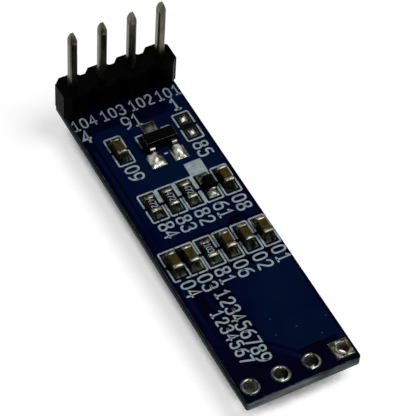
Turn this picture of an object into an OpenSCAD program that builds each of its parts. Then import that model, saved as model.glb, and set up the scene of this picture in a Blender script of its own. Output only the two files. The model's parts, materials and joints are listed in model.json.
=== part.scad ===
// Small OLED display module: a narrow circuit board with a pin header at one end, a row of
// plated contact holes at the other, chip parts on its upper face and an OLED panel below.
// X runs along the contact rows, Y from the open holes to the header, Z up.
// The origin is below the middle of the board, on the viewing face of the display.

/* [Board] */
// Length of the board, along Y
board_length = 32; // [31.5:0.5:40]
// Width of the board, along X
board_width = 9.5; // [9.5:0.1:12]
// Thickness of the bare laminate
laminate_thickness = 0.8; // [0.6:0.1:1.6]
// Radius of the board's corners
corner_radius = 0.2; // [0.1:0.05:0.6]
// Thickness of the solder mask on each face
mask_thickness = 0.05; // [0.03:0.01:0.06]
// Thickness of the tinned copper pads
pad_thickness = 0.07; // [0.06:0.01:0.1]
// Gap from a pad to the edge of its opening in the mask
mask_relief = 0.05; // [0.03:0.01:0.08]

/* [Print] */
// Thickness of the white print on the mask
print_thickness = 0.02; // [0.01:0.01:0.02]
// Width of the printed lines
print_line = 0.17; // [0.12:0.01:0.2]
// Width of the outline printed round a part, along X
outline_width = 1.5; // [1.4:0.01:1.55]
// Length of the outline printed round a part, along Y
outline_length = 3.1; // [2.8:0.05:3.3]
// Opening in the middle of each long side of an outline
outline_gap = 0.24; // [0.15:0.01:0.4]
// Outer radius of an outline's corners
outline_radius = 0.25; // [0.2:0.01:0.35]
// Distance from the transistor's body to the lines printed beside it, along Y
bracket_gap = 0.55; // [0.5:0.05:0.8]
// Length of the lines printed beside the transistor
bracket_length = 0.75; // [0.5:0.05:0.9]
// Length of the dash printed between the transistor's paired lands
dash_length = 0.3; // [0.2:0.05:0.4]
// Length of the filled block beyond the diode's marked end
block_length = 1.2; // [0.8:0.1:1.4]

/* [Contact rows] */
// Distance between neighbouring contacts
contact_pitch = 2.54; // [2.2:0.02:2.54]
// Distance from each end of the board to its contact row
row_margin = 1.25; // [1.25:0.05:1.6]
// Bore of an open contact hole
hole_diameter = 1.0; // [0.95:0.05:1.05]
// Width of the ring of metal round a hole
ring_width = 0.2; // [0.16:0.01:0.27]
// Side of the first contact's square pad
square_pad = 1.5; // [1.4:0.02:1.56]
// Wall of the plating inside a hole
plating_wall = 0.05; // [0.03:0.01:0.08]

/* [Pin header] */
// Height of the moulded housing
housing_height = 2.54; // [2:0.1:3]
// Depth of the housing, along Y
housing_depth = 2.5; // [2.3:0.05:2.5]
// Depth of the notches between the positions
notch_depth = 0.45; // [0.3:0.05:0.6]
// Flat floor of each notch
notch_floor = 0.4; // [0.2:0.05:0.6]
// Amount by which each end of the housing is cut short
end_trim = 0.13; // [0:0.01:0.2]
// Height of the channel under the housing
channel_height = 0.3; // [0.2:0.05:0.5]
// Width of the channel under the housing, along Y
channel_width = 1.0; // [0.9:0.1:1.2]
// Side of the square pins
pin_width = 0.64; // [0.5:0.01:0.64]
// Rounding of the pins' long edges
pin_edge = 0.13; // [0.04:0.01:0.15]
// Length of pin above the housing
pin_reach = 6.0; // [4:0.1:8]
// Length of pin below the board
pin_tail = 1.1; // [0.8:0.1:1.3]
// Length of the curved tip
tip_length = 1.1; // [0.5:0.1:1.3]
// Side of the flat at the end of the tip
tip_width = 0.24; // [0.2:0.02:0.4]
// Gap between a pin and the housing
pin_clearance = 0.02; // [0.01:0.01:0.03]
// Height of the solder cone under the board
solder_cone = 0.7; // [0.4:0.1:0.7]
// Thickness of the solder on a pin's faces at the end of the cone
cone_wall = 0.12; // [0.08:0.01:0.16]

/* [Chip parts] */
// Length of a chip part over its end caps
chip_length = 1.6; // [1.5:0.05:1.7]
// Width of a chip part
chip_width = 0.8; // [0.7:0.05:0.85]
// Height of a capacitor
capacitor_height = 0.8; // [0.6:0.05:0.9]
// Height of a resistor
resistor_height = 0.45; // [0.4:0.05:0.55]
// Length of each metal end cap
cap_length = 0.3; // [0.2:0.05:0.4]
// Thickness of the end cap's metal
cap_wall = 0.03; // [0.02:0.01:0.04]
// Rounding of a capacitor's edges
capacitor_edge = 0.1; // [0.06:0.01:0.12]
// Rounding of a resistor's edges
resistor_edge = 0.05; // [0.04:0.01:0.08]
// Distance between the inner edges of a chip's two lands
land_gap = 0.6; // [0.5:0.05:0.8]
// Length of a land, along Y
land_length = 0.9; // [0.85:0.05:1]
// Width of a land, along X
land_width = 0.9; // [0.85:0.05:1]
// Height of the solder bumps on the empty lands
bump_height = 0.16; // [0.1:0.01:0.2]
// Height of the solder on a capacitor's ends, as a share of the capacitor's height
capacitor_fillet = 0.6; // [0.4:0.05:0.8]
// Height of the solder on a resistor's ends, as a share of the resistor's height
resistor_fillet = 0.75; // [0.5:0.05:0.9]
// Width of a fillet at its land's outer edge, as a share of the land's width
fillet_taper = 0.78; // [0.6:0.02:0.9]

/* [Part places] */
// Distance from the header row to the first row of chip parts
first_row = 5.65; // [5.2:0.05:6]
// Distance from the header row to the transistor
transistor_row = 6.2; // [5.8:0.05:6.6]
// Distance from the header row to the second row of chip parts
second_row = 11.7; // [11:0.1:12.5]
// Distance from the header row to the third row of chip parts
third_row = 17.4; // [16.5:0.1:18.5]
// Middle of the transistor, along X
transistor_x = 0.7; // [0.6:0.05:0.8]
// Middle of the diode's place, along X
diode_x = 2.13; // [2.1:0.01:2.2]
// Distance from the middle of the diode's place to the soldered diode, along X
diode_shift = 0.12; // [-0.15:0.01:0.15]

/* [Transistor] */
// Length of the moulded body, along X
transistor_length = 2.9; // [2.7:0.1:3]
// Width of the moulded body, along Y
transistor_width = 1.3; // [1.2:0.05:1.4]
// Height of the top of the body above its feet
transistor_height = 1.0; // [0.9:0.05:1.2]
// Distance between the two leads on the paired side
lead_pitch = 1.9; // [1.8:0.05:2]
// Width of a lead
lead_width = 0.42; // [0.36:0.02:0.46]
// Thickness of a lead
lead_thickness = 0.12; // [0.1:0.01:0.14]
// Distance over the feet on the two sides
lead_span = 2.4; // [2.3:0.05:2.5]
// Height of the leads' shoulders above their feet
lead_drop = 0.46; // [0.4:0.02:0.5]
// Inner radius of the leads' bends
lead_bend = 0.06; // [0.04:0.01:0.08]
// Straight length of a lead between the body and its first bend
lead_shoulder = 0.06; // [0.02:0.01:0.1]
// Length of a lead inside the body
lead_root = 0.39; // [0.3:0.01:0.45]
// Amount by which each side of the body leans in towards its top
transistor_draft = 0.14; // [0.08:0.01:0.18]
// Height of the solder over a foot
lead_mound_height = 0.36; // [0.28:0.02:0.4]
// Distance from the edges of a land to the solder on it
mound_margin = 0.03; // [0.01:0.01:0.08]
// Length of the transistor's lands, along Y
lead_land_length = 1.3; // [1.2:0.05:1.4]
// Width of the transistor's lands, along X
lead_land_width = 1.2; // [1:0.05:1.25]
// Distance from the middle of the transistor to the inner edge of a land
lead_land_inset = 0.95; // [0.9:0.05:1]

/* [Diode] */
// Length of the moulded body, along Y
diode_length = 1.15; // [1.1:0.05:1.2]
// Width of the moulded body, along X
diode_width = 0.85; // [0.75:0.05:0.85]
// Height of the top of the body above its feet
diode_height = 0.75; // [0.6:0.05:0.8]
// Width of a lead
diode_lead_width = 0.3; // [0.26:0.02:0.34]
// Distance over the two feet
diode_span = 1.7; // [1.65:0.05:1.75]
// Height of the leads' shoulders above their feet
diode_drop = 0.27; // [0.24:0.01:0.3]
// Inner radius of the leads' bends
diode_bend = 0.03; // [0.02:0.01:0.04]
// Straight length of a lead between the body and its first bend
diode_shoulder = 0.01; // [0.01:0.01:0.03]
// Length of a lead inside the body
diode_root = 0.29; // [0.2:0.01:0.35]
// Amount by which each side of the body leans in towards its top
diode_draft = 0.07; // [0.04:0.01:0.1]
// Height of the solder over a foot
diode_mound_height = 0.3; // [0.24:0.02:0.34]
// Distance from the body to the solder on its lands
diode_mound_gap = 0.05; // [0.02:0.01:0.1]

/* [Display] */
// Distance from each contact row to the nearer end of the panel's front glass
glass_margin = 1.6; // [1.5:0.05:1.9]
// Width of the front glass, along X
glass_width = 8.0; // [7.8:0.1:9]
// Thickness of the front glass
glass_thickness = 0.5; // [0.4:0.05:0.7]
// Length of the bare ledge that carries the driver chip
ledge_length = 6.2; // [5.8:0.1:7]
// Thickness of the cover glass
cover_thickness = 0.5; // [0.45:0.05:0.7]
// Distance from the front glass's sides to the cover glass
cover_inset = 0.15; // [0.1:0.05:0.3]
// Depth of the hollow in the cover glass
hollow_depth = 0.25; // [0.2:0.01:0.28]
// Width of the bonded rim round the hollow
rim_width = 1.0; // [0.8:0.1:1.2]
// Thickness of the bond between the two glasses
bond_thickness = 0.05; // [0.03:0.01:0.08]
// Thickness of the light-emitting layers
pixel_thickness = 0.04; // [0.02:0.01:0.05]
// Distance from the hollow's ends to the lit area
pixel_margin = 0.34; // [0.2:0.02:1]
// Width of the lit area, along X
pixel_width = 3.18; // [3:0.02:4]
// Thickness of the drying sheet in the hollow
drying_thickness = 0.12; // [0.08:0.01:0.14]
// Distance from the hollow's walls to the drying sheet
drying_inset = 0.6; // [0.4:0.1:1]
// Thickness of the polarizer on the viewing side
polarizer_thickness = 0.2; // [0.1:0.05:0.3]
// Distance from the cover glass's outline to the polarizer
polarizer_inset = 0.4; // [0.2:0.1:0.6]
// Length of the driver chip, along X
driver_length = 6.7; // [6:0.1:7]
// Width of the driver chip, along Y
driver_width = 0.9; // [0.8:0.05:1]
// Thickness of the driver chip
driver_thickness = 0.25; // [0.2:0.05:0.3]
// Thickness of the adhesive foam between panel and board
foam_thickness = 0.35; // [0.3:0.05:0.5]
// Distance from the cover glass's outline to the foam
foam_inset = 0.3; // [0.2:0.1:0.6]

/* [Flex tail] */
// Width of the flex tail
flex_width = 7.2; // [7:0.1:7.4]
// Thickness of the flex tail
flex_thickness = 0.1; // [0.08:0.01:0.14]
// Length bonded to the ledge
flex_bond = 1.3; // [1:0.1:1.5]
// Straight run between the edge of the glass and the fold
flex_run = 0.1; // [0.05:0.05:0.15]
// Length that returns under the board, from the fold
flex_return = 3.4; // [3:0.1:3.6]
// Number of soldered fingers
finger_count = 14; // [10:1:14]
// Distance between neighbouring fingers
finger_pitch = 0.5; // [0.45:0.01:0.5]
// Width of a finger
finger_width = 0.28; // [0.24:0.01:0.3]
// Length of a finger's land beyond the flex
finger_length = 0.8; // [0.6:0.05:0.9]

/* [Hidden] */
$fn = 48;

// Length by which a cutting solid passes the surface it cuts
over = 1;

// Heights of the layers, from the viewing face up
z_glass = polarizer_thickness;
z_cell = z_glass + glass_thickness;
z_cover = z_cell + bond_thickness;
z_foam = z_cover + cover_thickness;
z_board = z_foam + foam_thickness;
z_laminate = z_board + mask_thickness;
z_copper = z_laminate + laminate_thickness;
z_mask_top = z_copper + mask_thickness;
z_pad = z_copper + pad_thickness;
z_pad_below = z_laminate - pad_thickness;
z_housing_top = z_pad + housing_height;
z_pin_top = z_housing_top + pin_reach;
z_pin_bottom = z_board - pin_tail;

// Contact rows
y_holes = -board_length / 2 + row_margin;
y_header = board_length / 2 - row_margin;
CONTACTS = [4, 3, 2, 1];
row_length = len(CONTACTS) * contact_pitch;
pad_radius = hole_diameter / 2 + ring_width;
barrel_radius = hole_diameter / 2 + plating_wall;

// Rows of chip parts
y_first = y_header - first_row;
y_transistor = y_header - transistor_row;
y_second = y_header - second_row;
y_third = y_header - third_row;

// Two-ended parts: [name, middle of the place, sideways shift of the soldered part]
CAPACITORS = [
    ["c9", [-2.45, y_first], -0.08],
    ["c8", [3.7, y_second], -0.05],
    ["c4", [-3.75, y_third], 0],
    ["c3", [-2.28, y_third], -0.1],
    ["c6", [0.84, y_third], -0.05],
    ["c2", [2.4, y_third], -0.05],
    ["c1", [3.92, y_third], 0.03]
];
RESISTORS = [
    ["r4", [-2.65, y_second], 0],
    ["r3", [-1.05, y_second], -0.04],
    ["r2", [0.55, y_second], -0.1],
    ["r1", [-0.78, y_third], -0.02]
];
EMPTY_PLACE = [3.55, y_first];
DIODE_PLACE = [diode_x, y_second];
PLACES = concat([for (part = concat(CAPACITORS, RESISTORS)) part[1]], [EMPTY_PLACE, DIODE_PLACE]);
land_middle = (land_gap + land_length) / 2;
transistor_land_middle = lead_land_inset + lead_land_length / 2;
TRANSISTOR_LEADS = [[-lead_pitch / 2, -1], [lead_pitch / 2, -1], [0, 1]];

// Display panel
glass_length = y_header - y_holes - 2 * glass_margin;
cover_length = glass_length - ledge_length - cover_inset;
cover_width = glass_width - 2 * cover_inset;
y_glass_end = -glass_length / 2;
y_cover = glass_length / 2 - cover_inset - cover_length / 2;
hollow_length = cover_length - 2 * rim_width;
hollow_width = cover_width - 2 * rim_width;
pixel_length = hollow_length - 2 * pixel_margin;
z_hollow = z_cover + hollow_depth;
y_driver = y_glass_end + (ledge_length + flex_bond) / 2;

// Flex tail, folded back under the board
fold_outer = (z_board - z_cell) / 2;
y_fold = y_glass_end - flex_run;
y_flex_end = y_fold + flex_return;
y_finger = y_flex_end + finger_length / 2;
finger_row = (finger_count - 1) * finger_pitch + finger_width;

// ---- Shared shapes ----

// Rectangle with true round corners, centred
module round_rect(size, r) {
    square([size.x - 2 * r, size.y], center = true);
    square([size.x, size.y - 2 * r], center = true);
    for (x = [-1, 1], y = [-1, 1])
        translate([x * (size.x / 2 - r), y * (size.y / 2 - r)])
            circle(r);
}

// Plate of the given size, centred on X and Y, from z up
module plate(size, z) {
    translate([-size.x / 2, -size.y / 2, z])
        cube([size.x, size.y, size.z]);
}

// Stands a profile drawn in (Y, Z) up along X, centred
module along_x(length) {
    rotate([90, 0, 90])
        linear_extrude(length, center = true)
            children();
}

// Stands a profile drawn in (X, Z) up along Y, centred
module along_y(length) {
    rotate([90, 0, 0])
        linear_extrude(length, center = true)
            children();
}

function contact_x(n) = (row_length + contact_pitch) / 2 - n * contact_pitch;

module at_hole(n) {
    translate([contact_x(n), y_holes, 0])
        children();
}

module at_header(n) {
    translate([contact_x(n), y_header, 0])
        children();
}

// ---- Circuit board ----

module board_outline() {
    round_rect([board_width, board_length], corner_radius);
}

module printed_board() {
    color("#5c6660")
        difference() {
            translate([0, 0, z_laminate])
                linear_extrude(laminate_thickness)
                    board_outline();
            for (n = CONTACTS) {
                at_hole(n)
                    barrel_bore();
                at_header(n)
                    barrel_bore();
            }
        }
}

module barrel_bore() {
    translate([0, 0, z_board - over])
        cylinder(r = barrel_radius, h = z_mask_top - z_board + 2 * over);
}

// Outline of a hole's pad: the first contact has a square one
module pad_shape(n, grow = 0) {
    if (n == 1)
        square(square_pad + 2 * grow, center = true);
    else
        circle(pad_radius + grow);
}

module hole_openings() {
    for (n = CONTACTS) {
        at_hole(n)
            pad_shape(n, mask_relief);
        at_header(n)
            pad_shape(n, mask_relief);
    }
}

module solder_mask_top() {
    color("#0b2a6b")
        translate([0, 0, z_copper])
            linear_extrude(mask_thickness)
                difference() {
                    board_outline();
                    hole_openings();
                    land_shapes(mask_relief);
                }
}

module solder_mask_bottom() {
    color("#0b2a6b")
        translate([0, 0, z_board])
            linear_extrude(mask_thickness)
                difference() {
                    board_outline();
                    hole_openings();
                    translate([0, y_finger])
                        square([finger_row + 2 * mask_relief, finger_length + 2 * mask_relief],
                            center = true);
                }
}

// Two brackets round a part's place, open in the middle of the long sides
module place_outline() {
    line = 2 * print_line;
    difference() {
        round_rect([outline_width, outline_length], outline_radius);
        round_rect([outline_width - line, outline_length - line], outline_radius - print_line);
        square([outline_width + over, outline_gap], center = true);
    }
}

// Corner bracket and two dashes round the transistor
module transistor_marks() {
    start = -(transistor_length + print_line) / 2;
    far = transistor_width / 2 + bracket_gap;
    translate([start, 0])
        square([print_line, far]);
    translate([start, far])
        square([bracket_length, print_line]);
    translate([-start - bracket_length, far])
        square([bracket_length, print_line]);
    translate([0, -far])
        square([dash_length, print_line], center = true);
}

// Filled block beyond the diode's marked end
module diode_mark() {
    translate([-outline_width / 2, outline_length / 2 - print_line])
        square([outline_width, block_length + print_line]);
}

module printed_outlines() {
    color("#c9d2d6")
        translate([0, 0, z_mask_top])
            linear_extrude(print_thickness) {
                for (place = PLACES)
                    translate(place)
                        place_outline();
                translate([transistor_x, y_transistor])
                    transistor_marks();
                translate(DIODE_PLACE)
                    diode_mark();
            }
}

// Plated hole: a barrel through the laminate with a pad on each face
module plated_hole(n) {
    difference() {
        union() {
            translate([0, 0, z_laminate])
                cylinder(r = barrel_radius, h = laminate_thickness);
            translate([0, 0, z_copper])
                linear_extrude(pad_thickness)
                    pad_shape(n);
            translate([0, 0, z_pad_below])
                linear_extrude(pad_thickness)
                    pad_shape(n);
        }
        translate([0, 0, z_pad_below - over])
            cylinder(d = hole_diameter, h = z_pad - z_pad_below + 2 * over);
    }
}

module contact_hole(n) {
    color("#b9b9ae")
        at_hole(n)
            plated_hole(n);
}

module header_hole(n) {
    color("#b9b9ae")
        at_header(n)
            plated_hole(n);
}

// ---- Pin header ----

// Outline of the housing, notched on both sides between neighbouring positions
module housing_outline() {
    difference() {
        square([row_length - 2 * end_trim, housing_depth], center = true);
        for (i = [0:len(CONTACTS)], side = [-1, 1])
            translate([i * contact_pitch - row_length / 2, side * housing_depth / 2])
                notch();
    }
}

module notch() {
    wide = notch_floor / 2 + notch_depth;
    polygon([
        [-wide, 0], [-notch_floor / 2, -notch_depth], [notch_floor / 2, -notch_depth], [wide, 0],
        [notch_floor / 2, notch_depth], [-notch_floor / 2, notch_depth]
    ]);
}

module header_housing() {
    hole = pin_width + 2 * pin_clearance;
    channel_length = row_length - contact_pitch + pin_width;
    color("#0b0b0c")
        difference() {
            translate([0, y_header, z_pad])
                linear_extrude(housing_height)
                    housing_outline();
            for (n = CONTACTS)
                at_header(n)
                    plate([hole, hole, housing_height + 2 * over], z_pad - over);
            translate([0, y_header, 0])
                plate([channel_length, channel_width, channel_height + over], z_pad - over);
        }
}

// Side view of a pin: square bar whose two sides curve in towards a flat tip
module pin_profile() {
    z_tip = z_pin_top - tip_length;
    inset = (pin_width - tip_width) / 2;
    tip_radius = (pow(tip_length, 2) + pow(inset, 2)) / (2 * inset);
    intersection() {
        translate([pin_width / 2 - tip_radius, z_tip])
            circle(tip_radius);
        translate([tip_radius - pin_width / 2, z_tip])
            circle(tip_radius);
        translate([-pin_width / 2, z_tip])
            square([pin_width, tip_length]);
    }
    translate([-pin_width / 2, z_pin_bottom])
        square([pin_width, z_tip - z_pin_bottom]);
}

module pin_column() {
    translate([0, 0, z_pin_bottom - over])
        linear_extrude(z_pin_top - z_pin_bottom + 2 * over)
            round_rect([pin_width, pin_width], pin_edge);
}

module pin_bar() {
    intersection() {
        pin_column();
        along_x(pin_width)
            pin_profile();
        along_y(pin_width)
            pin_profile();
    }
}

module header_pin(n) {
    color("#a9a894")
        at_header(n)
            pin_bar();
}

// Solder that fills the plated hole and climbs the pin's tail in a hollow cone
module header_solder(n) {
    foot = pad_radius - ring_width / 4;
    neck = pin_width / 2 + cone_wall;
    color("#c9c9c2")
        at_header(n)
            difference() {
                union() {
                    translate([0, 0, z_pad_below])
                        cylinder(d = hole_diameter, h = z_pad - z_pad_below);
                    rotate_extrude()
                        polygon(cone_points(foot, neck));
                }
                pin_column();
            }
}

// Half section of the cone, with a hollow side from the pad down to the neck
function cone_points(foot, neck, steps = 8) = concat([[0, z_pad_below]], [
    for (i = [0:steps])
        let (t = i / steps)
        [neck + (foot - neck) * pow(1 - t, 2), z_pad_below - solder_cone * t]
], [[0, z_pad_below - solder_cone]]);

// ---- Lands and solder of the chip parts ----

module land_pair(grow = 0) {
    for (side = [-1, 1])
        translate([0, side * land_middle])
            square([land_width + 2 * grow, land_length + 2 * grow], center = true);
}

module transistor_lands(grow = 0) {
    for (lead = TRANSISTOR_LEADS)
        translate([transistor_x + lead.x, y_transistor + lead.y * transistor_land_middle])
            square([lead_land_width + 2 * grow, lead_land_length + 2 * grow], center = true);
}

module land_shapes(grow = 0) {
    for (place = PLACES)
        translate(place)
            land_pair(grow);
    transistor_lands(grow);
}

module chip_lands() {
    color("#b9b9ae")
        translate([0, 0, z_copper])
            linear_extrude(pad_thickness)
                land_shapes();
}

// Hollow fillet in (Y, Z): falls from the given height at the part to the land's outer edge
function fillet_points(reach, height, steps = 6) = concat([[0, 0]], [
    for (i = [0:steps])
        let (t = i / steps)
        [reach * t, height * pow(1 - t, 2)]
]);

// Fillet against one end cap; narrows towards the land's outer edge
module end_fillet(height) {
    reach = land_gap / 2 + land_length - chip_length / 2;
    wide = land_width / 2;
    narrow = wide * fillet_taper;
    intersection() {
        along_x(land_width)
            polygon(fillet_points(reach, height));
        linear_extrude(height + over)
            polygon([[-wide, 0], [wide, 0], [narrow, reach], [-narrow, reach]]);
    }
}

module chip_fillets(height) {
    for (side = [0, 180])
        rotate([0, 0, side])
            translate([0, chip_length / 2])
                end_fillet(height);
}

// Bump of solder left on a land that carries no part
module solder_bump() {
    radius = (pow(land_width / 2, 2) + pow(bump_height, 2)) / (2 * bump_height);
    intersection() {
        translate([0, 0, z_pad + bump_height - radius])
            sphere(radius);
        plate([land_width, land_width, bump_height], z_pad);
    }
}

// Side view of the solder over a gull-wing foot: a wave that ends a little above the land
function mound_points(length, height, turn = 150, steps = 8) = concat([[0, 0]], [
    for (i = [0:steps])
        let (t = i / steps)
        [length * t, height * (cos(turn * t) + 1) / 2]
], [[length, 0]]);

// Front view of the same solder, rounded over
function crown_points(width, height, steps = 8) = [
    for (i = [0:steps])
        let (t = 180 * i / steps)
        [-width / 2 * cos(t), height * sin(t)]
];

module lead_mound(width, length, height) {
    intersection() {
        along_x(width)
            polygon(mound_points(length, height));
        along_y(3 * length)
            polygon(crown_points(width, height));
    }
}

module transistor_solder() {
    width = lead_land_width - 2 * mound_margin;
    length = lead_land_length - mound_margin;
    difference() {
        for (lead = TRANSISTOR_LEADS)
            translate([transistor_x + lead.x, y_transistor, z_pad])
                scale([1, lead.y, 1])
                    translate([0, lead_land_inset, 0])
                        lead_mound(width, length, lead_mound_height);
        transistor_lead_solids();
    }
}

module diode_solder() {
    inner = diode_length / 2 + diode_mound_gap;
    length = land_gap / 2 + land_length - mound_margin - inner;
    difference() {
        for (side = [0, 180])
            translate([diode_x, y_second, z_pad])
                rotate([0, 0, side])
                    translate([0, inner, 0])
                        lead_mound(land_width - 2 * mound_margin, length, diode_mound_height);
        diode_lead_solids();
    }
}

module chip_solder() {
    color("#c9c9c2") {
        for (part = CAPACITORS)
            at_chip(part)
                chip_fillets(capacitor_height * capacitor_fillet);
        for (part = RESISTORS)
            at_chip(part)
                chip_fillets(resistor_height * resistor_fillet);
        for (side = [-1, 1])
            translate(EMPTY_PLACE + [0, side * land_middle])
                solder_bump();
        transistor_solder();
        diode_solder();
    }
}

// ---- Chip parts ----

// Bar with rounded edges all round, lying along Y on z = 0
module chip_blank(length, width, height, edge) {
    intersection() {
        along_y(length)
            translate([0, height / 2])
                round_rect([width, height], edge);
        along_x(width)
            translate([0, height / 2])
                round_rect([length, height], edge);
    }
}

// Ceramic between and inside the end caps
module chip_core(height, edge) {
    translate([0, 0, cap_wall])
        chip_blank(chip_length - 2 * cap_wall, chip_width - 2 * cap_wall, height - 2 * cap_wall,
            max(edge - cap_wall, edge / 2));
}

// Metal caps, each wrapped over one end of the ceramic
module chip_caps(height, edge) {
    difference() {
        chip_blank(chip_length, chip_width, height, edge);
        chip_core(height, edge);
        plate([chip_width + over, chip_length - 2 * cap_length, height + 2 * over], -over);
    }
}

function part_named(name, parts) = [for (part = parts) if (part[0] == name) part][0];

module at_chip(part) {
    translate([part[1].x + part[2], part[1].y, z_pad])
        children();
}

module capacitor(name) {
    color("#8a6a35")
        at_chip(part_named(name, CAPACITORS))
            chip_core(capacitor_height, capacitor_edge);
}

module capacitor_caps(name) {
    color("#c4c2ba")
        at_chip(part_named(name, CAPACITORS))
            chip_caps(capacitor_height, capacitor_edge);
}

module resistor(name) {
    color("#1a1a1a")
        at_chip(part_named(name, RESISTORS))
            chip_core(resistor_height, resistor_edge);
}

module resistor_caps(name) {
    color("#c4c2ba")
        at_chip(part_named(name, RESISTORS))
            chip_caps(resistor_height, resistor_edge);
}

// ---- Transistor and diode ----

// Moulded body with drafted faces, parted at the leads' height
module moulded_profile(width, height, parting, draft) {
    base = lead_thickness;
    polygon([
        [-width / 2 + draft / 2, base], [width / 2 - draft / 2, base],
        [width / 2, parting], [width / 2 - draft, height],
        [-width / 2 + draft, height], [-width / 2, parting]
    ]);
}

module moulded_body(size, parting, draft) {
    intersection() {
        along_y(size.y)
            moulded_profile(size.x, size.z, parting, draft);
        along_x(size.x)
            moulded_profile(size.y, size.z, parting, draft);
    }
}

// Gull-wing lead in (Y, Z), from inside the body out to the end of the foot
module gull_wing(start, shoulder, end, drop, bend) {
    thick = lead_thickness;
    top = drop + thick;
    knee = shoulder + bend + thick;
    translate([start, drop])
        square([shoulder - start, thick]);
    quarter_bend([shoulder, drop - bend], bend, 0);
    translate([knee - thick, thick + bend])
        square([thick, drop - thick - 2 * bend]);
    quarter_bend([knee + bend, thick + bend], bend, 180);
    translate([knee + bend, 0])
        square([end - knee - bend, thick]);
}

// Quarter of a ring with the lead's thickness, turned to the given angle
module quarter_bend(place, bend, turn) {
    reach = bend + lead_thickness;
    translate(place)
        rotate(turn)
            intersection() {
                difference() {
                    circle(reach);
                    circle(bend);
                }
                square(reach);
            }
}

module transistor_lead_solids() {
    side = transistor_width / 2;
    for (lead = TRANSISTOR_LEADS)
        translate([transistor_x + lead.x, y_transistor, z_pad])
            rotate([0, 0, lead.y > 0 ? 0 : 180])
                along_x(lead_width)
                    gull_wing(side - lead_root, side + lead_shoulder, lead_span / 2, lead_drop, lead_bend);
}

module diode_lead_solids() {
    end = diode_length / 2;
    for (side = [0, 180])
        translate([diode_x + diode_shift, y_second, z_pad])
            rotate([0, 0, side])
                along_x(diode_lead_width)
                    gull_wing(end - diode_root, end + diode_shoulder, diode_span / 2, diode_drop, diode_bend);
}

module transistor_body() {
    size = [transistor_length, transistor_width, transistor_height];
    parting = lead_drop + lead_thickness / 2;
    color("#0d0d0e")
        difference() {
            translate([transistor_x, y_transistor, z_pad])
                moulded_body(size, parting, transistor_draft);
            transistor_lead_solids();
        }
}

module transistor_leads() {
    color("#b8b8b2")
        transistor_lead_solids();
}

module diode_body() {
    size = [diode_width, diode_length, diode_height];
    parting = diode_drop + lead_thickness / 2;
    color("#0d0d0e")
        difference() {
            translate([diode_x + diode_shift, y_second, z_pad])
                moulded_body(size, parting, diode_draft);
            diode_lead_solids();
        }
}

module diode_leads() {
    color("#b8b8b2")
        diode_lead_solids();
}

// ---- Display panel ----

module front_glass() {
    color("#9fb0b4", 0.5)
        plate([glass_width, glass_length, glass_thickness], z_glass);
}

module cover_glass() {
    color("#8f9ea2", 0.6)
        translate([0, y_cover, 0])
            difference() {
                plate([cover_width, cover_length, cover_thickness], z_cover);
                plate([hollow_width, hollow_length, hollow_depth + over], z_cover - over);
            }
}

module glass_bond() {
    color("#d8cfae")
        translate([0, y_cover, z_cell])
            linear_extrude(bond_thickness)
                difference() {
                    square([cover_width, cover_length], center = true);
                    square([hollow_width, hollow_length], center = true);
                }
}

module pixel_layers() {
    color("#2b2f38")
        translate([0, y_cover, 0])
            plate([pixel_width, pixel_length, pixel_thickness], z_cell);
}

module drying_sheet() {
    size = [hollow_width - 2 * drying_inset, hollow_length - 2 * drying_inset, drying_thickness];
    color("#e4e2da")
        translate([0, y_cover, 0])
            plate(size, z_hollow - drying_thickness);
}

module polarizer() {
    size = [cover_width - 2 * polarizer_inset, cover_length - 2 * polarizer_inset, polarizer_thickness];
    color("#101114")
        translate([0, y_cover, 0])
            plate(size, 0);
}

module driver_chip() {
    color("#3a3d44")
        translate([0, y_driver, 0])
            plate([driver_length, driver_width, driver_thickness], z_cell);
}

module foam_tape() {
    size = [cover_width - 2 * foam_inset, cover_length - 2 * foam_inset, foam_thickness];
    color("#1c1c1c")
        translate([0, y_cover, 0])
            plate(size, z_foam);
}

// ---- Flex tail ----

// Side view in (Y, Z): bonded under the ledge, folded over and laid against the board
module flex_profile() {
    fold_middle = z_cell + fold_outer;
    translate([y_fold, z_cell])
        square([flex_run + flex_bond, flex_thickness]);
    translate([y_fold, z_board - flex_thickness])
        square([flex_return, flex_thickness]);
    translate([y_fold, fold_middle])
        intersection() {
            difference() {
                circle(fold_outer);
                circle(fold_outer - flex_thickness);
            }
            translate([-fold_outer, -fold_outer])
                square([fold_outer, 2 * fold_outer]);
        }
}

module flex_tail() {
    color("#a5651e")
        along_x(flex_width)
            flex_profile();
}

module fingers(size, z) {
    for (i = [0:finger_count - 1])
        translate([(i - (finger_count - 1) / 2) * finger_pitch, y_finger, 0])
            plate(size, z);
}

module flex_lands() {
    color("#b9b9ae")
        fingers([finger_width, finger_length, mask_thickness], z_board);
}

// Bar of solder that joins each finger's end to its land
module flex_solder() {
    color("#c9c9c2")
        fingers([finger_width, finger_length, flex_thickness], z_board - flex_thickness);
}

printed_board();
solder_mask_top();
solder_mask_bottom();
printed_outlines();
contact_hole(1);  // contact_hole_1
contact_hole(2);  // contact_hole_2
contact_hole(3);  // contact_hole_3
contact_hole(4);  // contact_hole_4
header_hole(1);  // header_hole_1
header_hole(2);  // header_hole_2
header_hole(3);  // header_hole_3
header_hole(4);  // header_hole_4
header_housing();
header_pin(1);  // header_pin_1
header_pin(2);  // header_pin_2
header_pin(3);  // header_pin_3
header_pin(4);  // header_pin_4
header_solder(1);  // header_solder_1
header_solder(2);  // header_solder_2
header_solder(3);  // header_solder_3
header_solder(4);  // header_solder_4
chip_lands();
chip_solder();
capacitor("c1");  // capacitor_c1
capacitor("c2");  // capacitor_c2
capacitor("c3");  // capacitor_c3
capacitor("c4");  // capacitor_c4
capacitor("c6");  // capacitor_c6
capacitor("c8");  // capacitor_c8
capacitor("c9");  // capacitor_c9
capacitor_caps("c1");  // end_caps_c1
capacitor_caps("c2");  // end_caps_c2
capacitor_caps("c3");  // end_caps_c3
capacitor_caps("c4");  // end_caps_c4
capacitor_caps("c6");  // end_caps_c6
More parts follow.
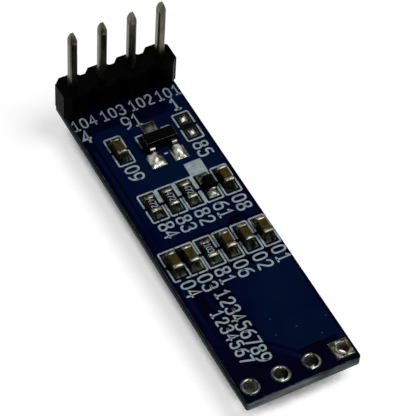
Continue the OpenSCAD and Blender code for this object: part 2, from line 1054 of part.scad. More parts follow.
capacitor_caps("c8");  // end_caps_c8
capacitor_caps("c9");  // end_caps_c9
resistor("r1");  // resistor_r1
resistor("r2");  // resistor_r2
resistor("r3");  // resistor_r3
resistor("r4");  // resistor_r4
resistor_caps("r1");  // end_caps_r1
resistor_caps("r2");  // end_caps_r2
resistor_caps("r3");  // end_caps_r3
resistor_caps("r4");  // end_caps_r4
transistor_body();
transistor_leads();
diode_body();
diode_leads();
front_glass();
cover_glass();
glass_bond();
pixel_layers();
drying_sheet();
polarizer();
driver_chip();
flex_tail();
flex_lands();
flex_solder();
foam_tape();
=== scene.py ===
"""Looks of the small OLED display module: materials, print, solder and surface relief.

Lengths are in metres, and MM turns millimetres into metres. Points on the board's upper face are
listed in mm, x from its middle line and y from the row of open holes; `spot` places them.
"""

import json
import math

import bmesh
import bpy
from mathutils import Matrix, Vector, noise


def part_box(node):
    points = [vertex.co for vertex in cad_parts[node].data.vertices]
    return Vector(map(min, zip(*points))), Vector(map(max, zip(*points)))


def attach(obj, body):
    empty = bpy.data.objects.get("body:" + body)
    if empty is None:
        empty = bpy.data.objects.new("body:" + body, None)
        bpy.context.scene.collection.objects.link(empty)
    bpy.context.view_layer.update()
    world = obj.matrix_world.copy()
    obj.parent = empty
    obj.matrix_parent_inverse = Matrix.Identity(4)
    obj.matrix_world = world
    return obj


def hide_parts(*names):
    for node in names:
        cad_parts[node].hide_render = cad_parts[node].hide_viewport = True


MM = 0.001

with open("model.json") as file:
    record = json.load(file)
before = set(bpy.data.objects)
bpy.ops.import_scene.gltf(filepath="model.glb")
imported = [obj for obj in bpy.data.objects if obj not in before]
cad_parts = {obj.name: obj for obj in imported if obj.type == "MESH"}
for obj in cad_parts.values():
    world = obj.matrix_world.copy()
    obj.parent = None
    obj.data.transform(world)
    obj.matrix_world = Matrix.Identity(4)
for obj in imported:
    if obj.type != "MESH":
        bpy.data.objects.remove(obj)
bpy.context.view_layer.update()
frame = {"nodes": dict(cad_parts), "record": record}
nodes = frame["nodes"]


# ---- Where things are ----

def middle(node):
    low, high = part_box(node)
    return (low + high) / 2


def top_of(node):
    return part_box(node)[1].z


CONTACTS = (1, 2, 3, 4)
ROUND_HOLES = (2, 3, 4)
Z_MASK = top_of("solder_mask_top")
Z_LAND = top_of("chip_lands")
HOLES = {n: middle(f"contact_hole_{n}") for n in CONTACTS}
Y_HOLES = HOLES[1].y
BOARD_LOW, BOARD_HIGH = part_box("printed_board")

CHIPS = ("c1", "c2", "c3", "c4", "c6", "c8", "c9", "r1", "r2", "r3", "r4")
BODY = {name: ("capacitor_" if name[0] == "c" else "resistor_") + name for name in CHIPS}
EMPTY_X, EMPTY_Y = 3.55, 23.85  # the place that holds no chip
EMPTY_LANDS_Y = (23.1, 24.6)
DIODE_X, DIODE_Y = 2.13, 17.8


def spot(x, y, z=Z_MASK):
    """A point given in mm: x from the middle line, y from the row of open holes."""
    return Vector((x * MM, Y_HOLES + y * MM, z))


# ---- Small mesh tools ----

def add_piece(name, verts, faces, material, smooth=False):
    """A new piece of the part's one body, with its faces turned outward."""
    mesh = bpy.data.meshes.new(name)
    mesh.from_pydata([tuple(v) for v in verts], [], faces)
    bm = bmesh.new()
    bm.from_mesh(mesh)
    bmesh.ops.recalc_face_normals(bm, faces=bm.faces)
    bm.to_mesh(mesh)
    bm.free()
    for poly in mesh.polygons:
        poly.use_smooth = smooth
    mesh.materials.append(material)
    piece = bpy.data.objects.new(name, mesh)
    bpy.context.scene.collection.objects.link(piece)
    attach(piece, "root")
    return piece


def prism(verts, faces, low, high):
    """Adds a closed solid between two outlines that have as many points as each other."""
    start, count = len(verts), len(low)
    verts += low + high
    faces.append(tuple(start + count + i for i in range(count)))
    faces.append(tuple(start + i for i in reversed(range(count))))
    for i in range(count):
        n = (i + 1) % count
        faces.append((start + i, start + n, start + count + n, start + count + i))


def join_rings(faces, start, size, count, closed=False):
    """Skins `count` rings of `size` points each; an open row of rings is capped at both ends."""
    for i in range(count if closed else count - 1):
        a, b = start + i * size, start + (i + 1) % count * size
        for k in range(size):
            n = (k + 1) % size
            faces.append((a + k, a + n, b + n, b + k))
    if not closed:
        end = start + (count - 1) * size
        faces.append(tuple(start + k for k in range(size)))
        faces.append(tuple(end + k for k in reversed(range(size))))


def rounded(points, closed=False, rounds=2):
    """Chaikin's corner cutting, with the end points of an open line kept."""
    for _ in range(rounds):
        out = []
        count = len(points)
        for i in range(count if closed else count - 1):
            a, b = points[i], points[(i + 1) % count]
            out += [a.lerp(b, 0.25), a.lerp(b, 0.75)]
        points = out if closed else [points[0]] + out[1:-1] + [points[-1]]
    return points


RIB = ((-1, 0), (-1, 0.55), (-0.75, 1), (0.75, 1), (1, 0.55), (1, 0))  # across and up, as shares
ROUND_END = ((0.5, 0.42), (0.3, 0.82))  # shares of the width: beyond the line's end, width there
MITRE_LIMIT = 1.6
LEAST_COSINE = 0.3
RAGGED_GRAIN = 5 / MM
RAGGED_SIDES = 0.4 * MM  # sets the two edges' noise apart


def ribbon(verts, faces, line, width, height, closed=False, ragged=0.0):
    """Adds a low raised strip along a line of points that lie in one level plane.

    An open strip ends half a width beyond its line. `ragged` is the share by which the width
    varies.
    """
    count = len(line)
    rings = []
    for i, point in enumerate(line):
        steps = []
        if closed or i:
            steps.append(point - line[i - 1])
        if closed or i < count - 1:
            steps.append(line[(i + 1) % count] - point)
        ways = [step.normalized() for step in steps if step.length > 1e-9]
        way = sum(ways, Vector()).normalized()
        side = Vector((way.y, -way.x, 0))
        stretch = 1.0
        if len(ways) == 2:
            stretch = min(MITRE_LIMIT, 1 / max(LEAST_COSINE, way.dot(ways[0])))
        rings.append((point, side * stretch, way))
    if not closed:
        point, side, way = rings[0]
        head = [(point - way * width * out, side * wide, way) for out, wide in ROUND_END]
        point, side, way = rings[-1]
        tail = [(point + way * width * out, side * wide, way) for out, wide in reversed(ROUND_END)]
        rings = head + rings + tail
    start = len(verts)
    for point, side, _ in rings:
        for across, up in RIB:
            seed = Vector((point.x, point.y, across * RAGGED_SIDES))
            wide = width * (1 + ragged * noise.noise(seed * RAGGED_GRAIN))
            verts.append(point + side * (across * wide / 2) + Vector((0, 0, up * height)))
    join_rings(faces, start, len(RIB), len(rings), closed)


# Strokes of each digit, as (points, closed), for a digit 1 high
DIGITS = {
    "0": [([(0.30, 0), (0.04, 0.12), (0, 0.5), (0.04, 0.88), (0.30, 1),
            (0.56, 0.88), (0.6, 0.5), (0.56, 0.12)], True)],
    "1": [([(0.10, 0.76), (0.34, 1), (0.34, 0)], False),
          ([(0.1, 0), (0.56, 0)], False)],
    "2": [([(0.02, 0.76), (0.08, 0.98), (0.54, 1.02), (0.62, 0.66), (0.40, 0.42),
            (0, 0), (0.60, 0)], False)],
    "3": [([(0.02, 0.84), (0.12, 1), (0.56, 1), (0.60, 0.58), (0.24, 0.54)], False),
          ([(0.24, 0.54), (0.62, 0.52), (0.62, 0), (0.10, 0), (0, 0.16)], False)],
    "4": [([(0.46, 0), (0.46, 1), (0, 0.30), (0.62, 0.30)], False)],
    "5": [([(0.56, 1), (0.08, 1), (0.04, 0.56), (0.60, 0.70), (0.62, 0),
            (0.08, -0.02), (0, 0.16)], False)],
    "6": [([(0.50, 1), (0.16, 0.86), (0, 0.50), (0, 0.04), (0.60, -0.04), (0.62, 0.60),
            (0.10, 0.60), (0.02, 0.36)], False)],
    "7": [([(0, 1), (0.60, 1), (0.22, 0)], False)],
    "8": [([(0.30, 0.54), (0.04, 0.64), (0.04, 0.96), (0.30, 1), (0.56, 0.96),
            (0.56, 0.64)], True),
          ([(0.30, 0.54), (0, 0.42), (0, 0.04), (0.30, 0), (0.60, 0.04), (0.60, 0.42)], True)],
    "9": [([(0.10, 0), (0.44, 0.14), (0.60, 0.50), (0.60, 0.96), (0, 1.04), (-0.02, 0.40),
            (0.50, 0.40), (0.58, 0.64)], False)],
}
SHARP = {"1", "4", "7"}
NARROW = 0.8
DIGIT_RAGGED = 0.16


def write(verts, faces, digits, start, along, height, pitch, stroke, rise):
    """Adds digits as raised strokes, read along `along`, with their tops to its left."""
    up = Vector((-along.y, along.x, 0))
    for k, digit in enumerate(digits):
        for line, closed in DIGITS[digit]:
            points = [start + along * (k * pitch + x * NARROW * height) + up * (y * height)
                      for x, y in line]
            if digit not in SHARP:
                points = rounded(points, closed)
            ribbon(verts, faces, points, stroke, rise, closed, DIGIT_RAGGED)


def patch(verts, faces, place, size, shape, cells=(18, 18), base_z=Z_LAND):
    """Adds a closed mound.

    `shape(u, v)` gives its height at u, v in -1..1, and a shift outward. `place` puts a point
    (across, outward, height) on the board.
    """
    nu, nv = cells
    start = len(verts)
    for j in range(nv + 1):
        for i in range(nu + 1):
            u, v = 2 * i / nu - 1, 2 * j / nv - 1
            shift, height = shape(u, v)
            verts.append(place(u * size[0] / 2, v * size[1] / 2 + shift, height))
    row = nu + 1
    for j in range(nv):
        for i in range(nu):
            a = start + j * row + i
            faces.append((a, a + 1, a + row + 1, a + row))
    rim = [start + i for i in range(nu + 1)]
    rim += [start + j * row + nu for j in range(1, nv + 1)]
    rim += [start + nv * row + i for i in range(nu - 1, -1, -1)]
    rim += [start + j * row for j in range(nv - 1, 0, -1)]
    base = len(verts)
    for k in rim:
        low = Vector(verts[k])
        low.z = base_z
        verts.append(low)
    count = len(rim)
    for k in range(count):
        n = (k + 1) % count
        faces.append((rim[k], rim[n], base + n, base + k))
    faces.append(tuple(base + k for k in reversed(range(count))))


# ---- Shader tools ----

def link(tree, a, b):
    tree.links.new(a, b)


def grain(tree, scale, detail, stretch):
    """Noise over the object's own coordinates; `scale` is in features per mm."""
    coords = tree.nodes.new("ShaderNodeTexCoord")
    mapping = tree.nodes.new("ShaderNodeMapping")
    mapping.inputs["Scale"].default_value = [s * scale / MM for s in stretch]
    tex = tree.nodes.new("ShaderNodeTexNoise")
    tex.inputs["Scale"].default_value = 1.0
    tex.inputs["Detail"].default_value = detail
    tex.inputs["Roughness"].default_value = 0.55
    link(tree, coords.outputs["Object"], mapping.inputs["Vector"])
    link(tree, mapping.outputs["Vector"], tex.inputs["Vector"])
    return tex.outputs["Fac"]


def ramp(tree, value, stops):
    node = tree.nodes.new("ShaderNodeValToRGB")
    elements = node.color_ramp.elements
    for element, (at, colour) in zip(elements, stops):
        element.position = at
        element.color = (*colour, 1)
    link(tree, value, node.inputs["Fac"])
    return node.outputs["Color"]


def spread(tree, value, low, high, source=(0.3, 0.7)):
    """Maps the range `source` onto low..high."""
    node = tree.nodes.new("ShaderNodeMapRange")
    node.inputs["From Min"].default_value = source[0]
    node.inputs["From Max"].default_value = source[1]
    node.inputs["To Min"].default_value = low
    node.inputs["To Max"].default_value = high
    link(tree, value, node.inputs["Value"])
    return node.outputs["Result"]


def reckon(tree, operation, *values):
    """A Math node on one or two linked values."""
    node = tree.nodes.new("ShaderNodeMath")
    node.operation = operation
    for value, socket in zip(values, node.inputs):
        link(tree, value, socket)
    return node.outputs[0]


def bump(tree, shader, value, depth):
    node = tree.nodes.new("ShaderNodeBump")
    node.inputs["Strength"].default_value = 1.0
    node.inputs["Distance"].default_value = depth * MM
    link(tree, value, node.inputs["Height"])
    link(tree, node.outputs["Normal"], shader.inputs["Normal"])


def srgb(r, g, b):
    """Colour given as 0-255 display values."""
    out = []
    for c in (r, g, b):
        c /= 255
        out.append(c / 12.92 if c <= 0.04045 else ((c + 0.055) / 1.055) ** 2.4)
    return tuple(out)


def surface(name, dark, light, scale=2.0, rough=(0.4, 0.6), metallic=0.0, ior=1.45, specular=0.5,
            relief=0.0, relief_scale=8.0, stretch=(1, 1, 1), stops=(0.35, 0.65), detail=4):
    """A material grained between two colours and two roughnesses; `relief` is a depth in mm."""
    material = bpy.data.materials.new(name)
    material.use_nodes = True
    tree = material.node_tree
    shader = tree.nodes["Principled BSDF"]
    value = grain(tree, scale, detail, stretch)
    colour = ramp(tree, value, [(stops[0], srgb(*dark)), (stops[1], srgb(*light))])
    link(tree, colour, shader.inputs["Base Color"])
    link(tree, spread(tree, value, *rough), shader.inputs["Roughness"])
    shader.inputs["Metallic"].default_value = metallic
    shader.inputs["IOR"].default_value = ior
    shader.inputs["Specular IOR Level"].default_value = specular
    if relief:
        bump(tree, shader, grain(tree, relief_scale, 3, stretch), relief)
    return material


def opened(material):
    """Tree, shader and present colour of a material, and the object's own coordinates."""
    tree = material.node_tree
    shader = tree.nodes["Principled BSDF"]
    coords = tree.nodes.new("ShaderNodeTexCoord")
    split = tree.nodes.new("ShaderNodeSeparateXYZ")
    link(tree, coords.outputs["Object"], split.inputs[0])
    return tree, shader, shader.inputs["Base Color"].links[0].from_socket, split.outputs


HEADER_SHADE = 0.7
HEADER_SHADE_Y = (Y_HOLES + 21 * MM, Y_HOLES + 28 * MM)


def shaded_by_header(material):
    """Darkens the colour smoothly towards the header, where less light reaches the board."""
    tree, shader, colour, place = opened(material)
    mix = tree.nodes.new("ShaderNodeVectorMath")
    mix.operation = "SCALE"
    link(tree, colour, mix.inputs[0])
    link(tree, spread(tree, place["Y"], 1.0, HEADER_SHADE, HEADER_SHADE_Y), mix.inputs["Scale"])
    link(tree, mix.outputs[0], shader.inputs["Base Color"])


# Dark navy, and where on the two long cut sides the upper part is darkened towards it
SIDE_TOP_DARK = (2, 4, 24)
SIDE_TOP_SPAN_X = (BOARD_HIGH.x - 0.03 * MM, BOARD_HIGH.x - 0.01 * MM)
SIDE_TOP_SPAN_Z = (Z_MASK - 0.6 * MM, Z_MASK - 0.36 * MM)
MIX_FACTOR, MIX_A, MIX_B, MIX_RESULT = 0, 6, 7, 2  # the Mix node's sockets for colours


def darken_side_tops(material):
    """Darkens the upper part of the two long cut sides towards dark navy."""
    tree, shader, colour, place = opened(material)
    side = spread(tree, reckon(tree, "ABSOLUTE", place["X"]), 0.0, 1.0, SIDE_TOP_SPAN_X)
    high = spread(tree, place["Z"], 0.0, 1.0, SIDE_TOP_SPAN_Z)
    mix = tree.nodes.new("ShaderNodeMix")
    mix.data_type = "RGBA"
    link(tree, reckon(tree, "MULTIPLY", side, high), mix.inputs[MIX_FACTOR])
    link(tree, colour, mix.inputs[MIX_A])
    mix.inputs[MIX_B].default_value = (*srgb(*SIDE_TOP_DARK), 1)
    link(tree, mix.outputs[MIX_RESULT], shader.inputs["Base Color"])


# ---- Materials ----

MASK = surface("solder_mask", (1, 0, 14), (2, 3, 24), scale=0.5, rough=(0.3, 0.42), ior=1.2,
               specular=0.04, relief=0.004, relief_scale=3)
MASK_COPPER = surface("mask_over_copper", (0, 3, 34), (2, 15, 40), scale=0.16, rough=(0.28, 0.4),
                      ior=1.2, specular=0.04, relief=0.004, relief_scale=3)
INK = surface("print_ink", (114, 128, 134), (146, 159, 162), scale=2, rough=(0.55, 0.7), ior=1.4,
              specular=0.1, relief=0.004, relief_scale=12)
shaded_by_header(INK)
CLEARING = surface("mask_clearing", (1, 3, 4), (6, 11, 14), scale=1.5, rough=(0.35, 0.5), ior=1.2,
                   specular=0.05, relief=0.004, relief_scale=6)
# Three copies of the one solder: this brightest one, and two darker ones below that are painted
# shade
SOLDER = surface("solder", (64, 67, 59), (160, 161, 152), scale=1.3, rough=(0.2, 0.34),
                 metallic=1.0, relief=0.02, relief_scale=2.2, stops=(0.4, 0.62), detail=2)
# Near-black copy of the solder, for the chips' fillets and the empty lands' pools: painted shade
SOLDER_DEEP_SHADE = surface("solder_deep_shade", (4, 6, 5), (40, 44, 36), scale=2.2, rough=(0.22, 0.4),
                 metallic=1.0, relief=0.03, relief_scale=3.0, stretch=(1.6, 0.45, 0.45),
                 stops=(0.42, 0.66), detail=2)
TIN = surface("tinned_copper", (50, 52, 46), (112, 113, 104), scale=1.8, rough=(0.12, 0.24),
              metallic=1.0, relief=0.008, relief_scale=3, stops=(0.38, 0.6), detail=2)
OLD_TIN = surface("mottled_tin", (44, 42, 32), (118, 114, 94), scale=3.2, rough=(0.22, 0.42),
                  metallic=1.0, relief=0.015, relief_scale=5, stops=(0.42, 0.6))
VIA = surface("masked_via", (8, 14, 36), (36, 44, 62), scale=6, rough=(0.3, 0.5), ior=1.3,
              specular=0.2)
# Dimmer copy of the solder, for the transistor's far foot and the diode's near foot: painted shade
SOLDER_HALF_SHADE = surface("solder_half_shade", (60, 62, 57), (112, 113, 106), scale=1.6, rough=(0.24, 0.4),
                  metallic=1.0, relief=0.024, relief_scale=2.5, stretch=(1, 0.4, 0.4),
                  stops=(0.36, 0.64), detail=2)
# Walls of the open holes: near-black, painted shade deep in the bores, with a brown flux tint
BORE_FLUX_AND_SHADE = surface("bore_wall_flux_shade", (5, 3, 2), (40, 34, 24), scale=1.3, rough=(0.25, 0.45),
                     metallic=1.0, relief=0.02, relief_scale=5, stops=(0.42, 0.62), detail=2)
CAP_METAL = surface("cap_metal", (46, 47, 40), (112, 111, 98), scale=2.0, rough=(0.22, 0.38),
                    metallic=1.0, relief=0.008, relief_scale=7, stops=(0.4, 0.62), detail=2)
PIN_METAL = surface("pin_metal", (64, 63, 52), (108, 106, 90), scale=2.5, rough=(0.22, 0.38),
                    metallic=1.0, relief=0.006, relief_scale=8, stretch=(1, 1, 0.15))
LEAD_METAL = surface("lead_metal", (84, 83, 77), (132, 130, 122), scale=3, rough=(0.25, 0.4),
                     metallic=1.0, relief=0.01, relief_scale=8, detail=2)
HOUSING = surface("header_plastic", (0, 0, 0), (3, 3, 3), scale=2, rough=(0.3, 0.45), ior=1.25,
                  specular=0.03, relief=0.01, relief_scale=5)
# Lighter grey for the transistor's rounded edges: a painted highlight, with a lower roughness than
# the body
EDGE_GLINT = surface("painted_edge_glint", (6, 6, 6), (14, 13, 13), scale=8, rough=(0.16, 0.3), ior=1.5)
MOULDED = surface("moulded_epoxy", (0, 0, 0), (2, 2, 2), scale=6, rough=(0.35, 0.5), ior=1.3,
                  specular=0.04, relief=0.008, relief_scale=14)
CERAMIC = surface("capacitor_ceramic", (36, 33, 12), (62, 52, 24), scale=1.8, rough=(0.4, 0.55),
                  ior=1.3, specular=0.03, relief=0.006, relief_scale=10)
# Resistor bodies: their pale alumina painted near-black, as painted shade on the sides
SHADED_ALUMINA = surface("alumina_painted_shade", (10, 12, 9), (44, 46, 40), scale=4, rough=(0.45, 0.6),
                  ior=1.35, specular=0.1, relief=0.01, relief_scale=10)
OVERCOAT = surface("resistor_overcoat", (2, 3, 2), (10, 11, 9), scale=5, rough=(0.25, 0.4),
                   ior=1.3, specular=0.06, relief=0.01, relief_scale=10)
LAMINATE = surface("laminate", (48, 66, 72), (158, 166, 165), scale=2.6, rough=(0.6, 0.8),
                   ior=1.3, specular=0.05, relief=0.03, relief_scale=6, stretch=(0.16, 0.16, 1.4),
                   stops=(0.36, 0.68))
darken_side_tops(LAMINATE)
CUT = surface("cut_laminate", (24, 34, 42), (92, 102, 104), scale=2.2, rough=(0.6, 0.8), ior=1.3,
              specular=0.05, relief=0.02, relief_scale=8, stops=(0.4, 0.66))
FRONT_GLASS = surface("front_glass", (38, 44, 46), (48, 55, 57), scale=0.4, rough=(0.04, 0.08),
                      ior=1.5)
COVER_GLASS = surface("cover_glass", (60, 68, 70), (74, 82, 84), scale=0.4, rough=(0.2, 0.3),
                      ior=1.5, specular=0.4, relief=0.004, relief_scale=6)
BOND = surface("bond_epoxy", (150, 140, 104), (176, 166, 128), scale=1.5, rough=(0.3, 0.45))
PIXELS = surface("pixel_film", (34, 38, 50), (52, 58, 72), scale=8, rough=(0.2, 0.35),
                 stretch=(1, 0.1, 1))
SHEET = surface("drying_sheet", (196, 194, 186), (216, 214, 206), scale=3, rough=(0.7, 0.9))
POLARIZER = surface("polarizer", (7, 7, 10), (11, 11, 15), scale=0.5, rough=(0.08, 0.14),
                    specular=0.4)
SILICON = surface("silicon", (52, 54, 62), (72, 75, 84), scale=6, rough=(0.12, 0.25), ior=1.6,
                  stretch=(1, 0.2, 1))
FLEX = surface("flex_film", (128, 70, 22), (168, 98, 36), rough=(0.2, 0.35), ior=1.5,
               stretch=(3, 0.15, 1), stops=(0.42, 0.58))
FOAM = surface("foam", (18, 18, 18), (44, 44, 44), scale=12, rough=(0.85, 0.95), relief=0.04,
               relief_scale=10)

BY_SLOT = {
    "laminate": LAMINATE, "solder_mask": MASK, "print_ink": INK, "tinned_copper": TIN,
    "header_plastic": HOUSING, "pin_metal": PIN_METAL, "solder": SOLDER,
    "capacitor_ceramic": CERAMIC, "resistor_body": SHADED_ALUMINA, "cap_metal": CAP_METAL,
    "moulded_epoxy": MOULDED, "lead_metal": LEAD_METAL, "front_glass": FRONT_GLASS,
    "cover_glass": COVER_GLASS, "bond_epoxy": BOND, "pixel_film": PIXELS, "drying_sheet": SHEET,
    "polarizer": POLARIZER, "silicon": SILICON, "flex_film": FLEX, "foam": FOAM,
}
for part in frame["record"]["subparts"]:
    slots = nodes[part["node"]].data.materials
    slots.clear()
    in_hole = part["node"].startswith("contact_hole")
    slots.append(BORE_FLUX_AND_SHADE if in_hole else BY_SLOT[part["material_slot"]])


# ---- Softened edges of the CAD solids that catch the light ----

def soften(node, width, segments, edge_glint_material=None):
    """Rounds the edges by `width` in mm. Modifiers only: the CAD mesh stays as it is."""
    piece = nodes[node]
    weld = piece.modifiers.new("weld", "WELD")
    weld.merge_threshold = 1e-6
    edge = piece.modifiers.new("edge", "BEVEL")
    edge.width = width * MM
    edge.segments = segments
    edge.limit_method = "ANGLE"
    edge.angle_limit = math.radians(30)
    if edge_glint_material:
        piece.data.materials.append(edge_glint_material)
        edge.material = 1


soften("header_housing", 0.3, 5)
# The transistor's rounded edges carry the painted edge highlight
soften("transistor_body", 0.05, 2, EDGE_GLINT)
soften("diode_body", 0.1, 3)
for n in CONTACTS:
    soften(f"header_pin_{n}", 0.09, 3)


# ---- Copper under the mask, and the mask's openings ----

PLATE_PULL = 0.03 * MM


def plates(name, outlines, material, rise):
    """One piece of low flat plates, whose upper edges are drawn in a little."""
    verts, faces = [], []
    for outline in outlines:
        count = len(outline)
        high = []
        for i, point in enumerate(outline):
            before = (point - outline[i - 1]).normalized()
            after = (outline[(i + 1) % count] - point).normalized()
            turn = before + after
            inward = Vector((-turn.y, turn.x, 0)).normalized()
            high.append(point + inward * PLATE_PULL + Vector((0, 0, rise)))
        prism(verts, faces, outline, high)
    return add_piece(name, verts, faces, material)


SQUARE = ((-1, -1), (1, -1), (1, 1), (-1, 1))
POUR_LOW = ((-1.0, 3.15), (0.82, 1.35), (4.5, 1.35), (4.5, 9.7), (-1.0, 9.7))
POUR_HIGH = ((-3.85, 13.9), (1.75, 13.9), (2.15, 14.4), (3.3, 14.4), (3.6, 13.9), (4.5, 13.9),
             (4.5, 28.1), (3.0, 28.1), (3.0, 26.4), (2.5, 25.9), (-0.9, 25.9), (-1.3, 26.3),
             (-3.85, 26.3))
POUR_RISE = 0.008 * MM
pour = plates("masked_copper", [[spot(x, y) for x, y in edge] for edge in (POUR_LOW, POUR_HIGH)],
              MASK_COPPER, POUR_RISE)

Z_CLEARING = Z_MASK + 0.002 * MM
CLEARING_RISE = 0.009 * MM
CLEARING_HALF_X, CLEARING_HALF_Y = 0.66, 1.42
TRANSISTOR_CLEARING = ((-0.72, 22.9), (2.1, 22.9), (2.1, 24.5), (-0.72, 24.5))
places = [(middle(BODY[name]).x / MM, (middle(BODY[name]).y - Y_HOLES) / MM) for name in CHIPS]
places += [(EMPTY_X, EMPTY_Y), (DIODE_X, DIODE_Y)]
clear = [[spot(x + sx * CLEARING_HALF_X, y + sy * CLEARING_HALF_Y, Z_CLEARING) for sx, sy in SQUARE]
         for x, y in places]
clear.append([spot(x, y, Z_CLEARING) for x, y in TRANSISTOR_CLEARING])
clearings = plates("mask_clearings", clear, CLEARING, CLEARING_RISE)

TRACKS = (  # points and width
    (((-4.22, 24.5), (-4.22, 4.35), (-3.3, 3.25)), 0.34),
    (((-2.87, 10.2), (-2.87, 6.5)), 0.26),
    (((-0.72, 2.3), (0.72, 0.72)), 0.36),
    (((4.2, 9.2), (4.2, 1.0)), 0.3),
)
TRACK_RISE = 0.011 * MM
verts, faces = [], []
for line, width in TRACKS:
    ribbon(verts, faces, [spot(x, y) for x, y in line], width * MM, TRACK_RISE)
tracks = add_piece("masked_tracks", verts, faces, MASK_COPPER)

VIAS = ((0.35, 4.6), (0.05, 3.15), (1.8, 3.18), (3.2, 1.85), (4.25, 3.1))
VIA_RADIUS, VIA_WIDTH, VIA_RISE = 0.05, 0.06 * MM, 0.016 * MM
VIA_SIDES = 12
verts, faces = [], []
for x, y in VIAS:
    angles = (2 * math.pi * k / VIA_SIDES for k in range(VIA_SIDES))
    ring = [spot(x + VIA_RADIUS * math.cos(a), y + VIA_RADIUS * math.sin(a)) for a in angles]
    ribbon(verts, faces, ring, VIA_WIDTH, VIA_RISE, closed=True)
add_piece("masked_vias", verts, faces, VIA)


# ---- Cut edge: bare laminate shows in a thin ragged line round the top face ----

RIM_CORNER = 0.3 * MM  # left free at the board's rounded corners
RIM_STEP = 0.12 * MM
RIM_RISE = Vector((0, 0, 0.012 * MM))
RIM_WIDTH, RIM_COARSE, RIM_FINE = 0.075, 0.06, 0.05  # mm: mean, and what two noises add
RIM_SHARE = (0.5, 0.25, 0.5, 0.25)  # of that width: more on the two short sides
RIM_LEAST, RIM_POINT = 0.015 * MM, 0.001 * MM  # least width along a side, and at its ends
RIM_TAPER = 4  # steps over which the ends narrow
verts, faces = [], []
corners = [Vector((x, y, Z_MASK)) for x, y in (
    (BOARD_LOW.x, BOARD_LOW.y), (BOARD_HIGH.x, BOARD_LOW.y),
    (BOARD_HIGH.x, BOARD_HIGH.y), (BOARD_LOW.x, BOARD_HIGH.y))]
for k, share in enumerate(RIM_SHARE):
    a, b = corners[k], corners[(k + 1) % 4]
    way = (b - a).normalized()
    inward = Vector((-way.y, way.x, 0))
    length = (b - a).length - 2 * RIM_CORNER
    count = int(length / RIM_STEP)
    start = len(verts)
    for i in range(count + 1):
        p = a + way * (RIM_CORNER + length * i / count)
        coarse, fine = noise.noise(p * 2.2 / MM), noise.noise(p * 6 / MM)
        wide = share * (RIM_WIDTH + RIM_COARSE * coarse + RIM_FINE * fine) * MM
        ends = min(1.0, min(i, count - i) / RIM_TAPER)
        wide = max(RIM_LEAST, wide) * ends + RIM_POINT
        verts += [p, p + inward * wide, p + inward * wide * 0.8 + RIM_RISE,
                  p + inward * 0.004 * MM + RIM_RISE]
    join_rings(faces, start, 4, count + 1)
add_piece("cut_rim", verts, faces, CUT)


# ---- Printed lines ----

RISE = 0.02 * MM
LINE = 0.145 * MM
LINE_RAGGED = 0.22
STEP = 0.1 * MM
CORNER_CUT, CORNER_FULLNESS = 0.1, 0.03
GAP_HALF = 0.2  # half of the gap in the sides of a place


def stepped(points):
    """The same line with points at short steps, and each corner cut round."""
    turned = [points[0]]
    for a, b, c in zip(points, points[1:], points[2:]):
        back, on = (a - b).normalized() * MM, (c - b).normalized() * MM
        turned += [b + back * CORNER_CUT, b + (back + on) * CORNER_FULLNESS, b + on * CORNER_CUT]
    turned.append(points[-1])
    out = [turned[0]]
    for a, b in zip(turned, turned[1:]):
        count = max(1, round((b - a).length / STEP))
        out += [a.lerp(b, k / count) for k in range(1, count + 1)]
    return out


def strip(verts, faces, points, width=LINE, rise=RISE):
    line = stepped([spot(x, y) for x, y in points])
    ribbon(verts, faces, line, width, rise, ragged=LINE_RAGGED)


def brackets(verts, faces, left, right, low, high, missing="", broken=None):
    """Two brackets round a place.

    `missing` names legs left out: n, s for the half and w, e for the side. `broken` gives the ends
    of a gap in the near line.
    """
    mid = (low + high) / 2
    top = [(left, mid + GAP_HALF), (left, high), (right, high), (right, mid + GAP_HALF)]
    bottom = [(left, mid - GAP_HALF), (left, low), (right, low), (right, mid - GAP_HALF)]
    if "nw" in missing:
        top.pop(0)
    if "ne" in missing:
        top.pop()
    if "sw" in missing:
        bottom.pop(0)
    strip(verts, faces, top)
    if broken:
        cut = bottom.index((right, low))
        strip(verts, faces, bottom[:cut] + [(broken[0], low)])
        strip(verts, faces, [(broken[1], low)] + bottom[cut:])
    else:
        strip(verts, faces, bottom)


# A row's low and high line, then its places: left and right line, legs left out, gap
LOW_ROW = (10.64, 13.52)
LOW_PLACES = ((-4.42, -3.02, "ne", (-4.0, -3.4)), (-3.02, -1.65, "nw sw", (-2.6, -2.36)),
              (-1.45, -0.08, "", None), (0.15, 1.49, "", None), (1.75, 3.1, "", None),
              (3.33, 4.62, "", None))
# The same for a row that has all its legs
MIDDLE_ROW = (16.32, 19.18)
MIDDLE_PLACES = ((-3.32, -1.94, (-2.88, -2.66)), (-1.71, -0.37, (-1.3, -1.08)),
                 (-0.15, 1.22, (0.26, 0.42)), (1.38, 2.74, None), (3.0, 4.35, None))
# Places by themselves: left, right, low and high line
TOP_PLACES = ((-3.15, -1.81, 22.41, 25.3), (2.84, 4.23, 22.4, 25.3))
# Bands that fill the gaps between places of the middle row: x, low and high end, width
BANDS = (
    (-1.76, 18.02, 19.1, 0.24), (-0.26, 18.04, 19.08, 0.32), (1.3, 18.04, 19.08, 0.34),
    (1.3, 16.45, 17.56, 0.16))
BAND_RISE, BLOCK_RISE = RISE * 1.15, RISE * 1.2
TRANSISTOR_MARKS = (((-0.75, 23.35), (-0.75, 24.58), (-0.15, 24.58)),
                    ((1.55, 24.58), (2.18, 24.58)))
DASH, DASH_WIDTH = ((0.62, 22.1), (0.8, 22.1)), 0.17 * MM
BLOCK = ((1.36, 19.15), (2.86, 19.15), (2.88, 20.52), (2.3, 20.55), (1.38, 20.5))

